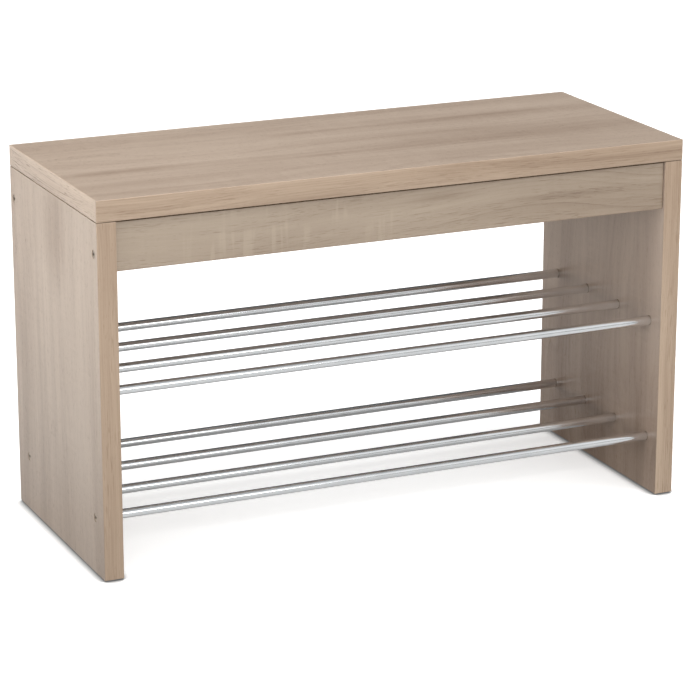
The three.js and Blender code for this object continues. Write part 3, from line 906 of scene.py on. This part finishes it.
def side_holes(side, sign):
    """Tube sockets, screw holes and the pockets for the fittings of one side board."""
    low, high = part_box(f"{side}_side_panel")
    inner, outer = (low[X], high[X]) if sign > 0 else (high[X], low[X])
    before_inner = inner - sign * OVERCUT
    holes = []
    for rod_name in ROD_NAMES:
        middle, radius, left_end, right_end = round_node(rod_name, X)
        end = (right_end if sign > 0 else left_end) + sign * FIT
        holes.append(drill(at(middle, X, before_inner), at(middle, X, end), radius + FIT))
    for end in ENDS:
        corner = f"{side}_{end}"
        for kind, shaft in SHAFT_RADIUS.items():
            middle, radius, _, _ = round_node(f"{corner}_{kind}", X)
            mouth = at(middle, X, outer + sign * OVERCUT)
            seat = at(middle, X, outer - sign * HEAD_DEPTH)
            holes.append(drill(mouth, seat, radius + FIT))
            holes.append(drill(mouth, at(middle, X, before_inner), shaft + FIT))
        for kind in ("apron_dowel", "cam_lock"):
            middle, radius, low_end, high_end = round_node(f"{corner}_{kind}", X)
            deepest = (high_end if sign > 0 else low_end) + sign * FIT
            holes.append(
                drill(at(middle, X, before_inner), at(middle, X, deepest), radius + FIT)
            )
        lock_height = round_node(f"{corner}_cam_lock", X)[0][Z]
        dowel, dowel_radius, dowel_bottom, _ = round_node(f"{corner}_seat_dowel", Z)
        bolt = round_node(f"{corner}_cam_bolt", Z)[0]
        above = high[Z] + OVERCUT
        holes.append(drill(at(bolt, Z, above), at(bolt, Z, lock_height), BOLT_RADIUS + FIT))
        holes.append(
            drill(at(dowel, Z, above), at(dowel, Z, dowel_bottom - FIT), dowel_radius + FIT)
        )
        glide, _, _, pin_top = round_node(f"{corner}_glide", Z)
        start = at(glide, Z, low[Z] - OVERCUT)
        holes.append(drill(start, at(glide, Z, pin_top + FIT), GLIDE_PIN_RADIUS + FIT))
    return holes


def apron_holes(end):
    """Holes in both ends of a rail for its screws and dowels, and its grooves under the seat."""
    low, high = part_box({"front": "front_apron", "back": "rear_apron"}[end])
    holes = []
    for face, way in ((low[Y], 1), (high[Y], -1)):
        near, far = sorted((face - way * OVERCUT, face + way * GROOVE_DEPTH))
        start = (low[X] - OVERCUT, near, UNDER_SEAT - GROOVE_HEIGHT)
        holes.append(block(start, (high[X] + OVERCUT, far, high[Z] + OVERCUT)))
    for side, sign in SIDES.items():
        face = high[X] if sign > 0 else low[X]
        for kind in ("apron_screw", "apron_dowel"):
            middle, radius, low_end, high_end = round_node(f"{side}_{end}_{kind}", X)
            tip = (low_end if sign > 0 else high_end) - sign * FIT
            reach = SHAFT_RADIUS.get(kind, radius) + FIT
            holes.append(drill(at(middle, X, face + sign * OVERCUT), at(middle, X, tip), reach))
    return holes


def add_boards(looks):
    """The five boards, drilled for everything that goes into them."""
    holes = {
        "top_panel": seat_holes(),
        "left_side_panel": side_holes("left", -1),
        "right_side_panel": side_holes("right", 1),
        "front_apron": apron_holes("front"),
        "rear_apron": apron_holes("back"),
    }
    for board_name, cutters in holes.items():
        mesh = carved(board_name, board_block(board_name), cutters)
        stand_in(board_name, mesh, looks[board_name])


def add_bands(looks):
    """The glued edge bands, rounded along every outer edge."""
    for board_name, band_names in BOARD_BANDS.items():
        for band_name in band_names:
            low, high = trimmed_box(band_name)
            axis, sign = band_axis(board_name, band_name)
            outer = high[axis] if sign > 0 else low[axis]
            shape = block(low, high)
            rim = [
                edge
                for edge in shape.edges
                if all(abs(vertex.co[axis] - outer) < FIT for vertex in edge.verts)
            ]
            ease(shape, rim, BAND_ROUND, BAND_STEPS)
            look = looks[max(range(3), key=lambda way: high[way] - low[way])]
            stand_in(band_name, finished(band_name, shape), look)


# ---- Tubes, screws and glides --------------------------------------------------------------

TUBE_WALL = 1 * MM
LIP = 0.3 * MM  # radius on a tube's outer rim
FITTING_SIDES = 48  # of a turned screw or glide
SCREW_RIM = 0.8 * MM  # the straight edge of a screw head
HEAD_EASE = 0.25 * MM
SCREW_THREADS = {  # the plain part of the shaft and the pitch
    "apron_screw": (12 * MM, 5 * MM),
    "tie_screw": (13 * MM, 3 * MM),
}
THREAD_DEPTH = 0.8 * MM
# One turn of the thread: how deep it is, and how far along the pitch.
THREAD_TURN = [(THREAD_DEPTH, 0.25), (THREAD_DEPTH, 0.55), (0.0, 0.90), (0.0, 1.0)]
HEX_RADIUS = 2.3 * MM
HEX_DEPTH = 2.6 * MM
GLIDE_DISC = 1.5 * MM
GLIDE_EDGE = 0.8 * MM
GLIDE_POINT = 2 * MM


def rounded_corner(radius, height, size, outward, upward, steps=3):
    """Profile points round an outer corner of a turned shape, from its side to its end."""
    points = []
    for step in range(steps + 1):
        turn = math.pi / 2 * step / steps
        points.append(
            (
                radius - outward * size * (1 - math.cos(turn)),
                height - upward * size * (1 - math.sin(turn)),
            )
        )
    return points


def add_rods(look):
    """The chromed tubes, hollow, with rounded lips."""
    for rod_name in ROD_NAMES:
        middle, radius, start, end = round_node(rod_name, X)
        length = end - start
        bore = radius - TUBE_WALL
        profile = [(bore, 0.0)]
        profile += rounded_corner(radius, 0.0, LIP, 1, -1)[::-1]
        profile += rounded_corner(radius, length, LIP, 1, 1)
        profile += [(bore, length)]
        tube = laid(turned(profile, closed=True), at(middle, X, start), (1, 0, 0))
        stand_in(rod_name, finished(rod_name, tube), look)


def screw_profile(length, radius, shaft, plain, pitch):
    """Half outline of a countersunk screw with its head at height 0 and its tip upwards."""
    points = [(0, 0)] + rounded_corner(radius, 0.0, HEAD_EASE, 1, -1)[::-1]
    points += [(radius, SCREW_RIM), (shaft, SCREW_RIM + radius - shaft), (shaft, plain)]
    thread_end = length - shaft
    for ridge in range(int((thread_end - plain) / pitch)):
        foot = plain + ridge * pitch
        points += [(shaft - depth, foot + along * pitch) for depth, along in THREAD_TURN]
    return points + [(shaft - THREAD_DEPTH, thread_end), (0, length)]


def add_screws(look):
    """The screws through the side boards, with a hexagon socket in each head."""
    for side, sign in SIDES.items():
        for end in ENDS:
            for kind, thread in SCREW_THREADS.items():
                name = f"{side}_{end}_{kind}"
                middle, radius, low_end, high_end = round_node(name, X)
                head = at(middle, X, high_end if sign > 0 else low_end)
                length = high_end - low_end
                profile = screw_profile(length, radius, SHAFT_RADIUS[kind], *thread)
                body = laid(turned(profile, FITTING_SIDES), head, (-sign, 0, 0))
                outside = head + Vector((sign * OVERCUT, 0, 0))
                bottom = head - Vector((sign * HEX_DEPTH, 0, 0))
                socket = drill(outside, bottom, HEX_RADIUS, sides=6)
                stand_in(name, carved(name, body, [socket]), look)


def add_glides(look):
    """The nail-in glides that the bench stands on."""
    for corner in CORNERS:
        name = f"{corner}_glide"
        middle, radius, bottom, top = round_node(name, Z)
        pin = GLIDE_PIN_RADIUS
        profile = [(0, 0)]
        profile += rounded_corner(radius, 0.0, GLIDE_EDGE, 1, -1, steps=5)[::-1]
        profile += [(radius, GLIDE_DISC), (pin, GLIDE_DISC), (pin, top - GLIDE_POINT), (0, top)]
        glide = laid(turned(profile, FITTING_SIDES), at(middle, Z, bottom), (0, 0, 1))
        stand_in(name, finished(name, glide), look)


# ---- The bench -----------------------------------------------------------------------------

# Soft streaks in the print, and in some lists painted shade and painted light: (along the grain,
# across it, half length, half width) in mm, and how much darker they are.
SEAT_STREAKS = [
    (-330, -33, 150, 18, 0.24),
    (190, 76, 170, 16, 0.17),
    (-30, 76, 110, 14, 0.11),
    (290, 78, 160, 18, 0.12),
    (230, -42, 330, 60, 0.15),
    (-50, -55, 60, 12, 0.10),
]
LEFT_STREAKS_AND_SHADE = [
    (412, 0, 115, 60, 0.28),
    (140, -2, 330, 64, 0.10),
    (230, 112, 330, 44, 0.10),
    # painted shade: darker towards the floor
    (0, 0, 190, 500, 0.14),
]
RIGHT_STREAKS_AND_SHADE = [
    # painted shade: darker towards the floor
    (40, 0, 280, 600, 0.32),
    (230, -96, 190, 14, 0.14),
    (90, -112, 80, 12, 0.10),
]
APRON_STREAKS_SHADE_AND_LIGHT = [
    # painted shade: darker towards the right end
    (330, 425, 330, 110, 0.16),
    # painted light: lighter towards the left end, by a negative depth
    (-330, 425, 220, 120, -0.09),
    (60, 440, 70, 9, 0.16),
    (250, 425, 120, 8, 0.16),
]
# Levels along the grain: (start, end, fade) in mm, then the level inside and outside.
APRON_SAW = (-285, -5, 20, 1.0, 0.1)
APRON_FIGURE = (10, 375, 40, 0.85, 0.3)


def core_of(board_name, axis):
    """The chipboard between a board's two printed skins, as (axis, middle, half thickness)."""
    low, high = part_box(board_name)
    middle = abs(low[axis] + high[axis]) / 2
    return axis, middle, (high[axis] - low[axis]) / 2 - DECOR_SHEET


def oak_looks():
    """The print on each board by its name, and on the bands by the axis that they lie along."""
    oak = oak_group()
    side_core = core_of("left_side_panel", X)
    apron = decor_material(
        "oak_apron",
        oak,
        X,
        (5.3, 1.4, 0.9),
        APRON_TINT,
        core_of("front_apron", Y),
        APRON_STREAKS_SHADE_AND_LIGHT,
        Lines=110.0,
        Arch=9.0,
        Figure=APRON_FIGURE,
        Streaks=0.7,
        Flecks=0.8,
        Saw=APRON_SAW,
    )
    boards = {
        "top_panel": decor_material(
            "oak_seat",
            oak,
            X,
            (0.0, 0.0, 0.0),
            SEAT_TINT,
            core_of("top_panel", Z),
            SEAT_STREAKS,
            Figure=0.6,
            Streaks=0.65,
            Flecks=0.08,
        ),
        "left_side_panel": decor_material(
            "oak_left",
            oak,
            Z,
            (3.1, 0.4, 0.2),
            LEFT_TINT_AND_LIGHT,
            side_core,
            LEFT_STREAKS_AND_SHADE,
            Figure=0.4,
            Streaks=0.7,
            Flecks=0.05,
        ),
        "right_side_panel": decor_material(
            "oak_right",
            oak,
            Z,
            (4.6, 2.4, 1.2),
            RIGHT_TINT_AND_LIGHT,
            side_core,
            RIGHT_STREAKS_AND_SHADE,
            Figure=0.5,
            Streaks=0.6,
            Flecks=0.1,
        ),
        "front_apron": apron,
        "rear_apron": apron,
    }
    bands = {
        X: decor_material("band_lengthways", oak, X, (1.7, 2.3, 0.6), BAND_TINT, **BAND_LEVELS),
        Y: decor_material("band_crossways", oak, Y, (2.9, 0.3, 1.6), END_TINT_AND_LIGHT, **BAND_LEVELS),
        Z: decor_material(
            "band_upright",
            oak,
            Z,
            (0.7, 1.3, 2.6),
            BAND_TINT,
            **{**BAND_LEVELS, **UPRIGHT_LEVELS_AND_SHADE},
        ),
    }
    return boards, bands


add_camera((cad_box[0] + cad_box[1]) / 2)
add_world()
add_floor()
for softbox_name, softbox in SOFTBOXES.items():
    add_softbox(softbox_name, (cad_box[0] + cad_box[1]) / 2, *softbox)
bpy.context.scene.view_settings.view_transform = "Standard"

BOARD_LOOKS, BAND_LOOKS = oak_looks()
CHROME = chrome_material()
ZINC = zinc_material()
BEECH = beech_material()
NYLON = nylon_material()

for node_name, node in frame["nodes"].items():
    look = BEECH if "dowel" in node_name else ZINC
    node.data.materials.clear()
    node.data.materials.append(look)
add_boards(BOARD_LOOKS)
add_bands(BAND_LOOKS)
add_rods(CHROME)
add_screws(ZINC)
add_glides(NYLON)
